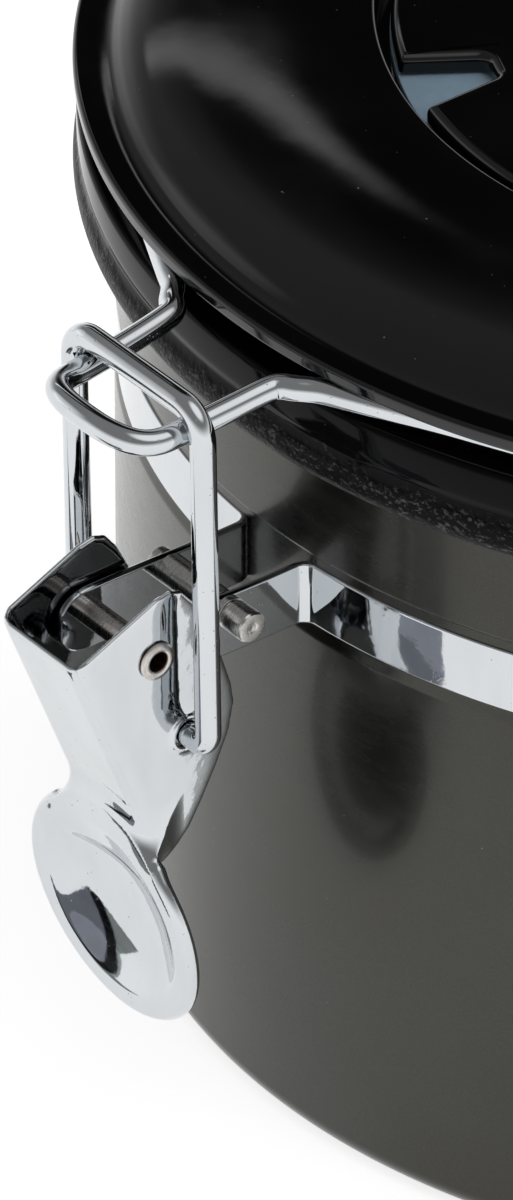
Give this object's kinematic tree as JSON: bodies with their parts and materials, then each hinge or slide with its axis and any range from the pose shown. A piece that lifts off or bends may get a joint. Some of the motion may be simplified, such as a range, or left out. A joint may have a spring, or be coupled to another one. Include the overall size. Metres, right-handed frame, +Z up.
{
  "type": "storage canister",
  "caption": "Round clamp-lid food storage canister: steel body, hinged lid with a date dial and vent valve, and an over-centre wire bail latch on a clamp band.",
  "frame": {"origin": "centre of the flat base, on the canister's axis", "axes": "+Z up along the canister's axis; -Y towards the latch, +Y towards the lid's hinge, +X to the right seen from the latch"},
  "size_m": [0.1504, 0.1822, 0.0978],
  "materials": {
    "body_paint": "satin",
    "bare_steel": "satin",
    "chrome_strip": "polished",
    "chrome_sheet": "polished",
    "chrome_wire": "polished",
    "turned_steel": "satin",
    "rivet_steel": "satin",
    "lid_plastic": "gloss",
    "collar_plastic": "gloss",
    "dial_plastic": "gloss",
    "gasket_rubber": "matte",
    "liner_plastic": "matte",
    "pale_disc": "satin",
    "flap_rubber": "matte",
    "filter_felt": "matte"
  },
  "bodies": {
    "canister": {"body_shell": "body_paint", "base_pan": "bare_steel", "clamp_band": "chrome_strip", "cross_pin": "turned_steel", "pivot_rivet": "rivet_steel", "rivet_washer": "turned_steel", "hinge_bracket": "chrome_strip"},
    "lever": {"latch_lever": "chrome_sheet"},
    "bail": {"latch_bail": "chrome_wire"},
    "lid": {"lid_shell": "lid_plastic", "lid_collar": "collar_plastic", "lid_ring": "chrome_wire", "lid_gasket": "gasket_rubber", "lid_liner": "liner_plastic", "liner_screws": "turned_steel", "number_disc": "pale_disc", "dial_pivot": "dial_plastic", "wave_washer": "turned_steel", "valve_body": "liner_plastic", "valve_flap": "flap_rubber", "valve_filter": "filter_felt", "valve_cap": "liner_plastic"},
    "dial": {"date_dial": "dial_plastic"}
  },
  "joints": [
    {"name": "lid_hinge", "type": "hinge", "parent": "canister", "child": "lid", "pos_m": [0, 0.0786, 0.063], "axis": [-1, 0, 0], "range_deg": [0, 105]},
    {"name": "lever_pivot", "type": "hinge", "parent": "canister", "child": "lever", "pos_m": [0, -0.0902, 0.0643], "axis": [-1, 0, 0], "range_deg": [0, 105]},
    {"name": "bail_pivot", "type": "hinge", "parent": "lever", "child": "bail", "pos_m": [0, -0.0866, 0.0546], "axis": [-1, 0, 0], "range_deg": [-147, 0]},
    {"name": "dial_turn", "type": "hinge", "parent": "lid", "child": "dial", "pos_m": [0, 0, 0.095], "axis": [0, 0, 1], "continuous": true}
  ],
  "couplings": [
    {"joint": "lever_pivot", "follows": "lid_hinge", "ratio": 1},
    {"joint": "bail_pivot", "follows": "lid_hinge", "ratio": -1.4}
  ]
}
